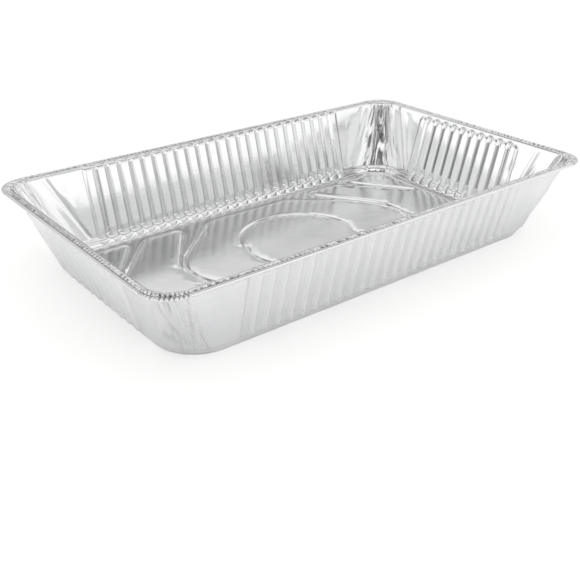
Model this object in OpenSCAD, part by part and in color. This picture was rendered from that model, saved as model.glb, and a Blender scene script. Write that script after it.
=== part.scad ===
// A full-size deep roasting pan, pressed from one sheet of foil: sloping fluted walls, gathered
// corners, a flange with a rolled edge, and a raised floor with pressed panels.
// Millimetres. +Z is up, +X runs along the long side, and the origin is the middle of the face
// that the pan stands on.

/* [Size] */
// Length over the rolled edge
rim_length = 527; // [500:1:550]
// Width over the rolled edge
rim_width = 322; // [310:1:345]
// Height from the standing face to the top of the rolled edge
pan_height = 83; // [60:1:100]
// Length of the wall's foot, over the ledge
foot_length = 462; // [445:1:475]
// Width of the wall's foot, over the ledge
foot_width = 262; // [250:1:270]
// Corner radius of the rolled edge
rim_corner = 29.5; // [24:0.5:36]
// Corner radius of the top of the wall, inside the flange
wall_corner = 24; // [20:0.5:28]
// Corner radius of the wall's foot
foot_corner = 48; // [40:1:52]
// Gauge of the foil
foil = 0.12; // [0.1:0.01:0.2]

/* [Rim] */
// Diameter of the rolled edge
roll_d = 3.4; // [2.6:0.1:4.4]
// How far round the edge is rolled, in degrees
roll_turn = 315; // [225:45:315]
// Width of the flat flange
flange_w = 6.9; // [4:0.1:9]
// Radius of the bend from the flange into the wall
bend_r = 1.4; // [0.8:0.1:2.4]
// Height of the gathers on the flange's corners
flange_gather = 0.35; // [0:0.05:0.6]

/* [Flutes] */
// Grooves along each long wall
long_grooves = 24; // [12:2:24]
// Grooves along each short wall
short_grooves = 10; // [4:2:10]
// Distance from one groove to the next
flute_pitch = 14.13; // [11:0.01:14.4]
// Depth from a rib's face to a groove's bottom
flute_depth = 2.8; // [1:0.1:3.4]
// Share of the pitch that a rib's face takes
rib_share = 0.46; // [0.35:0.01:0.55]
// Share of the pitch that a groove's bottom takes
groove_share = 0.16; // [0.1:0.01:0.25]
// Height over which a flute fades out at each end
flute_runout = 3; // [1.5:0.1:6]
// Plain band between the flutes and the flange
plain_band = 4.5; // [2:0.1:10]
// Height of the flutes' lower ends above the ledge
flute_rise = 0.4; // [0.3:0.1:2]
// Least plain wall between the last rib and the corner
plain_end = 2; // [1:0.5:4]

/* [Corners] */
// Pleats gathered into each corner
pleats = 6; // [4:1:8]
// Depth of a pleat's fold at the top of the wall
pleat_depth = 2.4; // [0.6:0.1:3]
// Share of that depth left at the foot of the wall
pleat_foot_share = 0.35; // [0.1:0.05:0.8]

/* [Foot] */
// Height of the ledge that the wall ends on
ledge_z = 8; // [6.5:0.1:10]
// Width of the ledge
ledge_w = 3; // [2:0.1:4.5]
// Fall of the ledge from its outer to its inner edge
ledge_fall = 1; // [0.4:0.1:1.6]
// How far the foot draws in between the ledge and the standing face
foot_draft = 3; // [2:0.1:4]
// Height of the soft bend between the foot and the standing face
foot_bend = 1.1; // [0.6:0.1:1.6]
// Width of the flat ring that the pan stands on
ring_w = 6; // [4:0.1:8]

/* [Floor] */
// Height of the floor above the standing face
floor_z = 5.5; // [4:0.1:6]
// Width of the slope from the standing ring up to the floor
floor_slope = 7; // [5:0.1:9]
// Height of the pressed panels above the floor
panel_rise = 1.5; // [0.8:0.1:2]
// Width of the step round each panel
panel_step = 2; // [1.2:0.1:2.2]
// Gap from the floor's long edges to the panels
long_margin = 10.5; // [6:0.5:14]
// Gap from the floor's short edges to the panels
short_margin = 7; // [5:0.5:14]
// Corner radius of the end panels
panel_corner = 27; // [18:1:32]
// Half the length of the middle panel's straight edge, as a share of the panels' half length
middle_edge_share = 0.26; // [0.22:0.01:0.28]
// Reach of the middle panel's round end, as a share of the panels' half length
middle_end_share = 0.652; // [0.64:0.001:0.655]
// Gap between the middle panel's round end and the end panel
end_gap = 5.5; // [5:0.1:7]
// Start of the end panel's long edge, as a share of the panels' half length
end_edge_share = 0.425; // [0.4:0.005:0.45]
// Near side of the slot in the end panel's long edge, as a share of the panels' half length
slot_near_share = 0.65; // [0.63:0.005:0.66]
// Far side of that slot, as a share of the panels' half length
slot_far_share = 0.745; // [0.73:0.005:0.76]
// Radius of the slot's round end
slot_r = 3; // [2.6:0.1:3.6]
// Distance from the slot's end to the panel's outer edge
slot_bridge = 8; // [7:0.5:12]
// Radius of the floor's ring along the length
ring_rx = 64; // [50:1:74]
// Radius of the floor's ring across the width
ring_ry = 68; // [50:1:76]
// Width of the groove that draws the ring
ring_groove = 5; // [3:0.1:7]
// Depth of the groove that draws the ring
ring_depth = 1; // [0.4:0.1:1.4]

/* [Hidden] */

// Segments in each corner: two for a pleat
corner_steps = 2 * pleats;
// Segments in a fillet, and in a quarter of the floor's ring
fillet_steps = 4;
ring_steps = 9;
// Degrees that each flat segment of the roll and of the wall's top bend turns
roll_segment = 45;
bend_segment = 30;

rim_a = rim_length / 2;
rim_b = rim_width / 2;
foot_a = foot_length / 2;
foot_b = foot_width / 2;
roll_r = roll_d / 2;
// The roll leaves the flange at its upper inner side, and passes its top and its outer side
roll_start = 135;
flange_z = pan_height - roll_r + roll_r * sin(roll_start);
roll_inset = roll_r - roll_r * cos(roll_start);
wall_inset = roll_inset + flange_w + bend_r;
wall_top_z = flange_z - bend_r;
floor_inset = ledge_w + foot_draft + ring_w + floor_slope;
floor_a = foot_a - floor_inset;
floor_b = foot_b - floor_inset;
floor_r = foot_corner - floor_inset;
panel_z = floor_z + panel_rise;
panel_a = floor_a - short_margin;
panel_b = floor_b - long_margin;
// Points that the panels' outlines turn at, as shares of the panels' half length or half width
shoulder_share = 0.527;
slot_end_share = 0.32;
// How far the end panel bulges towards the middle panel between its straight edge and its tip
end_bulge = 1.5;
// Lengths that the panels' corners are rounded over
middle_fillet = 8;
slot_fillet = 4.5;
end_fillet = 13;
tip_fillet = 18;

// Levels, from the floor's edge out to the end of the roll. Each is [half length, half width,
// corner radius, height, pleat in plan, pleat in height, points on the sides, flute's half depth].
COARSE = [1, 1];
DENSE = [4 * long_grooves + 4, 4 * short_grooves + 4];

// A level of the roll, e in from its outer side
function roll_level(e, z) = [rim_a - e, rim_b - e, rim_corner - e, z, 0, 0, COARSE, 0];

// A level of the foot, e in from the ledge's outer edge
function foot_level(e, z) = [foot_a - e, foot_b - e, foot_corner - e, z, 0, 0, COARSE, 0];

// A level of the sloping wall at height z, with flutes of the given strength
function wall_level(z, points, strength) =
    let (t = (z - ledge_z) / (wall_top_z - ledge_z))
    [
        foot_a + t * (rim_a - wall_inset - foot_a),
        foot_b + t * (rim_b - wall_inset - foot_b),
        foot_corner + t * (wall_corner - foot_corner),
        z,
        pleat_depth * (pleat_foot_share + (1 - pleat_foot_share) * t),
        0,
        points,
        strength * flute_depth / 2
    ];

// A level of the bend from the wall's top into the flange
function bend_level(turn) =
    let (back = bend_r - bend_r * cos(turn))
    [
        rim_a - wall_inset + back,
        rim_b - wall_inset + back,
        wall_corner + back,
        flange_z - bend_r + bend_r * sin(turn),
        pleat_depth * (1 - turn / 90),
        flange_gather * turn / 90,
        COARSE,
        0
    ];

flute_foot_z = ledge_z + flute_rise;
flute_top_z = wall_top_z - plain_band;

LEVELS = concat(
    [
        foot_level(floor_inset, floor_z),
        foot_level(floor_inset - floor_slope, foil),
        foot_level(ledge_w + foot_draft, foil),
        foot_level(ledge_w + foot_draft / 2, foil + foot_bend),
        foot_level(ledge_w, ledge_z - ledge_fall),
        wall_level(ledge_z, COARSE, 0),
        wall_level(flute_foot_z, DENSE, 0),
        wall_level(flute_foot_z + flute_runout, DENSE, 1),
        wall_level(flute_top_z - flute_runout, DENSE, 1),
        wall_level(flute_top_z, DENSE, 0),
        wall_level(wall_top_z, COARSE, 0)
    ],
    [for (turn = [bend_segment:bend_segment:90]) bend_level(turn)],
    [
        for (k = [0:roll_turn / roll_segment])
        let (turn = roll_start - k * roll_segment)
        roll_level(roll_r - roll_r * cos(turn), pan_height - roll_r + roll_r * sin(turn))
    ]
);

// The mitred offset, in outward and upward steps, that carries a level through the foil
function across(d) = [d[1], -d[0]] / norm(d);

function step_between(i) = [LEVELS[i + 1][1] - LEVELS[i][1], LEVELS[i + 1][3] - LEVELS[i][3]];

function through(i) =
    let (
        last = len(LEVELS) - 1,
        before = i == 0 ? [0, -1] : across(step_between(i - 1)),
        after = i == last ? across(step_between(i - 1)) : across(step_between(i))
    )
    (before + after) / (1 + before * after);

// The points along a side. Each is [distance from its middle, 1 on a rib, -1 in a groove and 0 on
// the plain wall]. Where a side is short, its flutes move closer together.
function pitch_on(straight, grooves) = min(flute_pitch, (straight - 2 * plain_end) / (grooves + 1));

function side_points(count, straight) =
    count == 1 ? [[0, 0]] :
    let (
        grooves = (count - 4) / 4,
        pitch = pitch_on(straight, grooves),
        flank = (1 - rib_share - groove_share) / 2,
        cell = [[-groove_share / 2 - flank, 1], [-groove_share / 2, -1],
            [groove_share / 2, -1], [groove_share / 2 + flank, 1]],
        half = grooves / 2 + rib_share / 2
    )
    concat(
        [[-(half + flank) * pitch, 0], [-half * pitch, 1]],
        [
            for (g = [0:grooves - 1], c = cell)
            [(g - (grooves - 1) / 2 + c[0]) * pitch, c[1]]
        ],
        [[half * pitch, 1], [(half + flank) * pitch, 0]]
    );

// One closed loop of points at a level. Skin 0 faces the food, and skin 1 is the other side.
function loop_points(i, skin) =
    let (
        level = LEVELS[i],
        shift = skin * foil * through(i),
        a = level[0] + shift[0],
        b = level[1] + shift[0],
        r = level[2] + shift[0],
        z = level[3] + shift[1]
    )
    [
        for (q = [0:3])
        let (
            sx = q == 0 || q == 3 ? 1 : -1,
            sy = q < 2 ? 1 : -1,
            long_side = q % 2 == 0,
            straight = 2 * (long_side ? foot_a - foot_corner : foot_b - foot_corner),
            count = level[6][long_side ? 0 : 1],
            along = side_points(count, straight)
        )
        each concat(
            [
                for (k = [0:corner_steps])
                let (
                    turn = 90 * (q + k / corner_steps),
                    folded = k > 0 && k < corner_steps,
                    zig = folded ? (k % 2 == 1 ? -0.5 : 0.5) : 0,
                    reach = r + zig * level[4]
                )
                [sx * (a - r) + reach * cos(turn), sy * (b - r) + reach * sin(turn), z + zig * level[5]]
            ],
            [
                for (p = along)
                let (
                    out = (long_side ? b : a) - p[1] * level[7],
                    turned = q < 2 ? 1 : -1
                )
                long_side ? [-turned * p[0], turned * out, z] : [-turned * out, -turned * p[0], z]
            ]
        )
    ];

// A corner of a floor outline turned into a smooth curve, which starts and ends the given distance
// from it
function bend(from, corner, to, reach, steps) =
    let (
        start = corner + (from - corner) * min(reach, norm(from - corner)) / norm(from - corner),
        end = corner + (to - corner) * min(reach, norm(to - corner)) / norm(to - corner)
    )
    [
        for (k = [0:steps])
        let (t = k / steps)
        (1 - t) * (1 - t) * start + 2 * t * (1 - t) * corner + t * t * end
    ];

function crossing(p, q, x) = [x, p[1] + (q[1] - p[1]) * (x - p[0]) / (q[0] - p[0])];

// A quarter of the middle panel, from its round end on the X axis to its long edge on the Y axis
middle_corner = [middle_edge_share * panel_a, panel_b];
middle_tip = [middle_end_share * panel_a, 0];
middle_shoulder = [shoulder_share * panel_a, panel_b / 2];
middle_turn = crossing(middle_corner, middle_shoulder, middle_tip[0]);
MIDDLE = concat(
    bend(middle_tip, middle_turn, middle_shoulder, panel_b, fillet_steps + 1),
    bend(middle_shoulder, middle_corner, [0, panel_b], middle_fillet, 2),
    [[0, panel_b]]
);

// The upper half of the end panel, from its outer edge round to the gap beside the middle panel
end_outer = [panel_a, 0];
end_top = [panel_a, panel_b];
slot_mouth = [slot_near_share * panel_a, slot_far_share * panel_a];
slot_end = [panel_a - slot_bridge, slot_end_share * panel_b];
slot_axis = slot_end - [(slot_mouth[0] + slot_mouth[1]) / 2, panel_b];
slot_side = [-slot_axis[1], slot_axis[0]] / norm(slot_axis) * slot_r;
end_corner = [end_edge_share * panel_a, panel_b];
end_tip = [middle_tip[0] + end_gap, 0];
end_shoulder = [end_tip[0] - end_bulge, panel_b / 4];
end_turn = crossing(end_corner, end_shoulder, end_tip[0]);
END_HALF = concat(
    [end_outer],
    bend(end_outer, end_top, [0, panel_b], panel_corner, fillet_steps + 1),
    bend(end_top, [slot_mouth[1], panel_b], slot_end + slot_side, slot_fillet, 2),
    [
        for (k = [0:fillet_steps])
        let (turn = -180 * k / fillet_steps)
        slot_end + [
            slot_side[0] * cos(turn) - slot_side[1] * sin(turn),
            slot_side[0] * sin(turn) + slot_side[1] * cos(turn)
        ]
    ],
    bend(slot_end - slot_side, [slot_mouth[0], panel_b], end_corner, slot_fillet, 2),
    bend([slot_mouth[0], panel_b], end_corner, end_shoulder, end_fillet, fillet_steps),
    bend(end_corner, end_turn, end_tip, tip_fillet, fillet_steps),
    [end_tip]
);

// Mirror a quarter into a whole outline, and a half into a whole outline, anticlockwise
function whole_from_quarter(p) =
    let (k = len(p) - 1)
    concat(
        [for (i = [0:k - 1]) p[i]],
        [for (i = [k:-1:1]) [-p[i][0], p[i][1]]],
        [for (i = [0:k - 1]) -p[i]],
        [for (i = [k:-1:1]) [p[i][0], -p[i][1]]]
    );

function whole_from_half(p) =
    let (k = len(p) - 1)
    concat([for (i = [0:k - 1]) p[i]], [for (i = [k:-1:1]) [p[i][0], -p[i][1]]]);

// The outline moved outwards by d, with mitred corners
function grown(p, d) =
    let (n = len(p))
    [
        for (i = [0:n - 1])
        let (
            before = across(p[i] - p[(i + n - 1) % n]),
            after = across(p[(i + 1) % n] - p[i])
        )
        p[i] + d * (before + after) / (1 + before * after)
    ];

function at_height(p, z) = [for (v = p) [v[0], v[1], z]];

function ring_quarter(grow) =
    [
        for (k = [0:ring_steps])
        let (turn = 90 * k / ring_steps)
        [(ring_rx + grow) * cos(turn), (ring_ry + grow) * sin(turn)]
    ];

MIDDLE_LOOP = whole_from_quarter(MIDDLE);
END_LOOP = whole_from_half(END_HALF);
FAR_END_LOOP = -END_LOOP;
FLOOR_LOOPS = [
    at_height(MIDDLE_LOOP, panel_z),
    at_height(grown(MIDDLE_LOOP, panel_step), floor_z),
    at_height(END_LOOP, panel_z),
    at_height(grown(END_LOOP, panel_step), floor_z),
    at_height(FAR_END_LOOP, panel_z),
    at_height(grown(FAR_END_LOOP, panel_step), floor_z),
    at_height(whole_from_quarter(ring_quarter(ring_groove / 2)), panel_z),
    at_height(whole_from_quarter(ring_quarter(0)), panel_z - ring_depth),
    at_height(whole_from_quarter(ring_quarter(-ring_groove / 2)), panel_z)
];

function lowered(p, d) = [for (v = p) v - [0, 0, d]];

// Every loop of one skin in turn: the levels, and then the floor's outlines
function skin_loops(skin) =
    concat(
        [for (i = [0:len(LEVELS) - 1]) loop_points(i, skin)],
        [for (p = FLOOR_LOOPS) lowered(p, skin * foil)]
    );

LOOPS = skin_loops(0);
POINTS = [for (p = LOOPS) each p];
STARTS = [for (i = 0, s = 0; i < len(LOOPS); s = s + len(LOOPS[i]), i = i + 1) s];
SKIN_SIZE = len(POINTS);

// Point numbers along one corner or one side of a level, both ends included
function corner_start(i, q) =
    let (sides = LEVELS[i][6])
    q * (corner_steps + 1) + ceil(q / 2) * sides[0] + floor(q / 2) * sides[1];

function number_at(i, k) = STARTS[i] + k % len(LOOPS[i]);

function corner_run(i, q) = [for (k = [0:corner_steps]) number_at(i, corner_start(i, q) + k)];

function side_run(i, q) =
    let (count = LEVELS[i][6][q % 2])
    [for (k = [0:count + 1]) number_at(i, corner_start(i, q) + corner_steps + k)];

// Triangles between an inner run and an outer run, whatever their counts
function stitch(inner, outer) =
    let (
        m = len(inner) - 1,
        n = len(outer) - 1
    )
    concat(
        [for (k = [0:n - 1]) [inner[round(m * (k + 0.5) / n)], outer[k + 1], outer[k]]],
        [for (k = [0:m - 1]) [inner[k], inner[k + 1], outer[ceil(n * (k + 0.5) / m - 0.5)]]]
    );

function level_faces(i) =
    [
        for (q = [0:3])
        each concat(
            stitch(corner_run(i, q), corner_run(i + 1, q)),
            stitch(side_run(i, q), side_run(i + 1, q))
        )
    ];

// Point numbers along part k of a floor outline that is made of equal parts
function part_run(loop, parts, k) =
    let (
        n = len(LOOPS[loop]),
        size = n / parts
    )
    [for (j = [0:size]) STARTS[loop] + (k * size + j) % n];

function whole_run(loop) = part_run(loop, 1, 0);

function loop_face(loop) = [for (k = [0:len(LOOPS[loop]) - 1]) STARTS[loop] + k];

function reversed(p) = [for (k = [len(p) - 1:-1:0]) p[k]];

// A flat face cut into triangles, one ear at a time, with the shortest cut first
function turn_of(a, b, c) = (b[0] - a[0]) * (c[1] - a[1]) - (b[1] - a[1]) * (c[0] - a[0]);

function holds(a, b, c, v) =
    v != a && v != b && v != c && turn_of(a, b, v) >= 0 && turn_of(b, c, v) >= 0 && turn_of(c, a, v) >= 0;

function is_ear(face, i) =
    let (
        n = len(face),
        a = POINTS[face[(i + n - 1) % n]],
        b = POINTS[face[i]],
        c = POINTS[face[(i + 1) % n]]
    )
    turn_of(a, b, c) > 0 && len([for (k = face) if (holds(a, b, c, POINTS[k])) k]) == 0;

function cut_length(face, i) =
    let (n = len(face))
    norm(POINTS[face[(i + n - 1) % n]] - POINTS[face[(i + 1) % n]]);

function triangles(face) =
    len(face) == 3 ? [face] :
    let (
        n = len(face),
        ears = [for (i = [0:n - 1]) if (is_ear(face, i)) i],
        shortest = min([for (i = ears) cut_length(face, i)]),
        ear = [for (i = ears) if (cut_length(face, i) == shortest) i][0],
        rest = [for (k = [0:n - 1]) if (k != ear) face[k]]
    )
    concat([[face[(ear + n - 1) % n], face[ear], face[(ear + 1) % n]]], triangles(rest));

middle_top = len(LEVELS);
middle_low = middle_top + 1;
end_high = [middle_top + 2, middle_top + 4];
end_low = [middle_top + 3, middle_top + 5];
ring_loops = [middle_top + 6, middle_top + 7, middle_top + 8];

// The quarter of the floor's edge from one axis to the next
function edge_run(q) =
    concat(
        [number_at(0, corner_start(0, q) + len(LOOPS[0]) - 1)],
        corner_run(0, q),
        [number_at(0, corner_start(0, q) + corner_steps + 1)]
    );

function floor_quarter(q) =
    let (
        panel = end_low[ceil(q / 2) % 2],
        beside = reversed(part_run(panel, 2, q % 2)),
        middle = reversed(part_run(middle_low, 4, q))
    )
    q % 2 == 0 ? concat(edge_run(q), middle, beside) : concat(edge_run(q), beside, middle);

function round_ring_quarter(q) =
    concat(part_run(middle_top, 4, q), reversed(part_run(ring_loops[0], 4, q)));

FLAT_FACES = concat(
    [for (q = [0:3]) floor_quarter(q)],
    [for (q = [0:3]) round_ring_quarter(q)],
    [for (k = [0:1]) loop_face(end_high[k])],
    [loop_face(ring_loops[2])]
);

SKIN_FACES = concat(
    [for (i = [0:len(LEVELS) - 2]) each level_faces(i)],
    stitch(whole_run(middle_top), whole_run(middle_low)),
    [for (k = [0:1]) each stitch(whole_run(end_high[k]), whole_run(end_low[k]))],
    [for (k = [0:1]) each stitch(whole_run(ring_loops[k + 1]), whole_run(ring_loops[k]))],
    [for (face = FLAT_FACES) for (t = triangles(face)) reversed(t)]
);

// The strip that closes the free edge at the end of the roll
last_level = len(LEVELS) - 1;
FREE_EDGE = [for (k = [0:len(LOOPS[last_level])]) number_at(last_level, k)];

function other_skin(face) = [for (k = face) k + SKIN_SIZE];

// The whole pan: both skins of the foil and the edge between them
module pan() {
    color("silver")
        polyhedron(
            points = concat(POINTS, [for (p = skin_loops(1)) each p]),
            faces = concat(
                SKIN_FACES,
                [for (f = SKIN_FACES) reversed(other_skin(f))],
                stitch(FREE_EDGE, other_skin(FREE_EDGE))
            ),
            convexity = 12
        );
}

pan();
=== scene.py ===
import math

import bpy
import numpy as np
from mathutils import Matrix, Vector, geometry


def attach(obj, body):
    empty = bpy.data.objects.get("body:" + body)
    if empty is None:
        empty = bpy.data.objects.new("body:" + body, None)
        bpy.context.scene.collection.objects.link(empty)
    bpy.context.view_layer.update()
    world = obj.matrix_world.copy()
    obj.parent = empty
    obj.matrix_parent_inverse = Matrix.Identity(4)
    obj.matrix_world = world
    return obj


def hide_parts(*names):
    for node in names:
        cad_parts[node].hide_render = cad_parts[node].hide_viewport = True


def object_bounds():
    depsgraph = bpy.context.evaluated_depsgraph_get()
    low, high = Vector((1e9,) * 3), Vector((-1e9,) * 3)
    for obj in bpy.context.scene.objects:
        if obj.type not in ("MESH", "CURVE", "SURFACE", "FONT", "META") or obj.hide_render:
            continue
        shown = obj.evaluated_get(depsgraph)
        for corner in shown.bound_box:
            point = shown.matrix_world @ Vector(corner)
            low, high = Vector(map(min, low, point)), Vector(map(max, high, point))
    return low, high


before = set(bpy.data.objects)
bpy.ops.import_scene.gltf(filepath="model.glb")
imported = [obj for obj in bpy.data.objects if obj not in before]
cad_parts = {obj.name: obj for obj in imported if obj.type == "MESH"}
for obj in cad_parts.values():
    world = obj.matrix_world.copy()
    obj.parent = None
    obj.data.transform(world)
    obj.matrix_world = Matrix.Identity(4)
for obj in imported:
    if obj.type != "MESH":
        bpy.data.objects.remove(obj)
cad_box = [list(corner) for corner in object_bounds()]

# The camera stands to the left of the pan and in front of it, a little above the rim, and looks
# down on it. Its place and lens are given by the direction it looks in and by where the middle
# of the standing face lands in the square picture.
PICTURE = 580
VIEW_AZIMUTH = math.radians(-38.5)
VIEW_ELEVATION = math.radians(24.6)
VIEW_DISTANCE = 0.9225
FOCAL_PIXELS = 866.0
ORIGIN_PIXEL = (302.4, 244.1)


def place_camera():
    """The camera looks along the line from its place to the origin, so the shift alone moves the
    origin from the middle of the picture to its pixel: shift = (middle - pixel) / picture."""
    back = np.array([
        math.sin(VIEW_AZIMUTH) * math.cos(VIEW_ELEVATION),
        -math.cos(VIEW_AZIMUTH) * math.cos(VIEW_ELEVATION),
        math.sin(VIEW_ELEVATION),
    ])
    lens = bpy.data.cameras.new("camera")
    lens.sensor_width = 36.0
    lens.lens = lens.sensor_width * FOCAL_PIXELS / PICTURE
    lens.shift_x = (PICTURE / 2 - ORIGIN_PIXEL[0]) / PICTURE
    lens.shift_y = (ORIGIN_PIXEL[1] - PICTURE / 2) / PICTURE
    lens.clip_start, lens.clip_end = 0.01, 50
    camera = bpy.data.objects.new("camera", lens)
    camera.location = back * VIEW_DISTANCE
    camera.rotation_euler = (math.pi / 2 - VIEW_ELEVATION, 0, VIEW_AZIMUTH)
    bpy.context.collection.objects.link(camera)
    bpy.context.scene.camera = camera


place_camera()

# The pan is one sheet of bright foil pressed between two dies, with no joint anywhere. The press
# draws the sloping walls down, folds the spare foil of the corners into pleats, stiffens the walls
# with ribs and the floor with shallow panels, and curls the cut edge under into a bead.
MM = 0.001
FOIL = 0.12

# Half length, half width and corner radius of the rim and of the foot, the pan's height, and the
# corner radius at the top of the wall
RIM_A, RIM_B, HEIGHT = (round(side / MM, 2) for side in cad_box[1])
RIM_R = 29.5
FOOT_A, FOOT_B, FOOT_R = 231.0, 131.0, 48.0
WALL_R = 24.0

# The rolled edge: the bead's radius, the flange's width, the radius of the bend into the wall, the
# angle at which the bead leaves the flange, the angle that it turns through and in how many steps
ROLL_R, FLANGE, BEND = 1.7, 5.1, 3.2
ROLL_START, ROLL_TURN, ROLL_STEPS = math.radians(135), math.radians(315), 7
ROLL_IN = ROLL_R - ROLL_R * math.cos(ROLL_START)
FLANGE_Z = HEIGHT - ROLL_R + ROLL_R * math.sin(ROLL_START)
WALL_IN = ROLL_IN + FLANGE + BEND
WALL_TOP = FLANGE_Z - BEND

# The narrow ledge at the foot of the wall, then how far the foot draws in below it and the power
# of its curve
LEDGE_Z, LEDGE_W, LEDGE_FALL = 8.0, 3.0, 1.0
FOOT_DRAFT, FOOT_CURVE = 3.0, 1.6

# The flutes: pitch, and number of cells from the middle of the wall, on the long and short walls
LONG_PITCH, LONG_CELLS = 13.84, 11.5
SHORT_PITCH, SHORT_CELLS = 14.13, 4.5

# A rib's section, from 0 in the bottom of a groove to 1 on the rib's flat, by shares of the pitch
# from the groove. The ends of a flat are counted from a rib's middle. The last rib's flat and the
# tail that runs out from it into the plain wall are counted from the last groove.
GROOVE_AT, GROOVE_LEVEL = (0, 0.12, 0.215, 0.25), (0, 0.165, 0.9, 1)
FLAT_ENDS, LAST_FLAT = (0.17, 0.83), (0.33, 0.67)
LAST_PITCH, TAIL_AT, TAIL_LEVEL = 14, (0.75, 0.785, 0.92), (1, 0.88, 0)


def smooth(t):
    """0 below 0, 1 above 1 and the cubic 3tt - 2ttt between them."""
    t = np.clip(t, 0, 1)
    return t * t * (3 - 2 * t)


def value_noise(x, y, seed):
    """Smooth noise between -1 and 1: random heights on a square lattice, joined by the cubic
    of smooth() along each axis."""
    heights = np.random.default_rng(seed).uniform(-1, 1, (64, 64))
    i, j = np.floor(x).astype(int), np.floor(y).astype(int)
    u, v = smooth(x - i), smooth(y - j)
    near = heights[i % 64, j % 64] * (1 - u) + heights[(i + 1) % 64, j % 64] * u
    far = heights[i % 64, (j + 1) % 64] * (1 - u) + heights[(i + 1) % 64, (j + 1) % 64] * u
    return near * (1 - v) + far * v


def fluted_places(cells, pitch):
    """Places along a fluted wall, from its middle rib to its last groove: each rib's flat, the
    two edges of each flank and the bottom of each groove."""
    groove = np.array(GROOVE_AT[1:])
    start, end = FLAT_ENDS
    rib = np.concatenate([[start], 0.5 - groove[::-1], [0.5], 0.5 + groove, [end]])
    places = np.concatenate([[0], (np.arange(cells + 0.5)[:, None] + rib).ravel()])
    return places[places < cells + 0.01] * pitch


# Columns of points in a plain part of the wall and in a corner
PLAIN_COLUMNS, ARC_COLUMNS = 25, 61


def quarter_columns():
    """The columns of a quarter of the pan, from the middle of the short wall to the middle of the
    long one. Each has a part (0 and 4 fluted wall, 1 and 3 plain wall, 2 corner), a place
    (millimetres, share of the plain wall, angle), the same place evened out for the flange, and
    for the plain wall the millimetres that it keeps from the last groove."""
    short = fluted_places(SHORT_CELLS, SHORT_PITCH)
    long = fluted_places(LONG_CELLS, LONG_PITCH)[::-1]
    *last_rib, tail = np.array([*GROOVE_AT[1:], *LAST_FLAT, *TAIL_AT]) * LAST_PITCH
    plain = np.concatenate([[0] * len(last_rib), np.arange(PLAIN_COLUMNS) / PLAIN_COLUMNS])
    kept = np.concatenate([last_rib, np.full(PLAIN_COLUMNS, tail)])
    arc = np.linspace(0, math.pi / 2, ARC_COLUMNS)
    counts = [len(short), len(plain), len(arc), len(plain), len(long)]
    part = np.repeat(np.arange(5), counts)
    place = np.concatenate([short, plain, arc, plain[::-1], long])
    even = np.concatenate([
        np.linspace(0, short[-1], counts[0]), plain, arc, plain[::-1],
        np.linspace(long[0], 0, counts[4]),
    ])
    kept = np.concatenate([short * 0, kept, arc * 0, kept[::-1], long * 0])
    return part, place, even, kept


def plan_of(a, b, r, slide):
    """Plan position and outward normal of every column on rounded rectangles of half length a,
    half width b and corner radius r, one rectangle a row, with the columns slid to their even
    places by the share slide. The quarter is mirrored into four."""
    part, place, even, kept = quarter_columns()
    a, b, r, slide = (np.asarray(v, float)[:, None] for v in (a, b, r, slide))
    place = place + (even - place) * slide
    end_y, end_x = SHORT_CELLS * SHORT_PITCH, LONG_CELLS * LONG_PITCH
    turn = np.where(part == 2, place, np.where(part < 2, 0, math.pi / 2))
    from_flutes = kept + (np.where(part == 1, b - r - end_y, a - r - end_x) - kept) * place
    x = np.select(
        [part < 2, part == 2, part == 3],
        [a + 0 * place, a - r + r * np.cos(turn), end_x + from_flutes], 0 * a + place,
    )
    y = np.select(
        [part == 0, part == 1, part == 2],
        [0 * b + place, end_y + from_flutes, b - r + r * np.sin(turn)], b + 0 * place,
    )
    short_side = np.where(part == 2, -r * place, b - r - y)
    long_side = np.where(part == 2, -r * (math.pi / 2 - place), a - r - x)

    def around(v, flip_x=False, flip_y=False):
        """The quarter's values, then those mirrored in x, in both and in y. A flipped one changes
        its sign with that mirror."""
        v = v + 0 * a + 0 * place
        sx, sy = (-1 if flip_x else 1), (-1 if flip_y else 1)
        return np.concatenate([
            v[:, :-1], sx * v[:, :0:-1], sx * sy * v[:, :-1], sy * v[:, :0:-1],
        ], axis=1)

    return {
        "x": around(x, flip_x=True), "y": around(y, flip_y=True),
        "nx": around(np.cos(turn), flip_x=True), "ny": around(np.sin(turn), flip_y=True),
        "part": around(part), "along": around(np.where(part % 4 == 0, place, 0)),
        "tail": around(np.where(part % 2 == 1, from_flutes, 0)), "arc": around(turn),
        "short_side": around(short_side), "long_side": around(long_side),
    }


# Heights of the wall's rows: close together at the foot and the rib tops, and even between them,
# where only every fourth row is kept in the straight flutes
LOW_ROWS = (8.4, 10, 12.2, 14.6)
MIDDLE_ROWS, MIDDLE_STEP = np.linspace(17.5, 67, 11), 4
TOP_ROWS = (71, 72.6, 74, 75.2, 76.4, 77.6, WALL_TOP)


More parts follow.
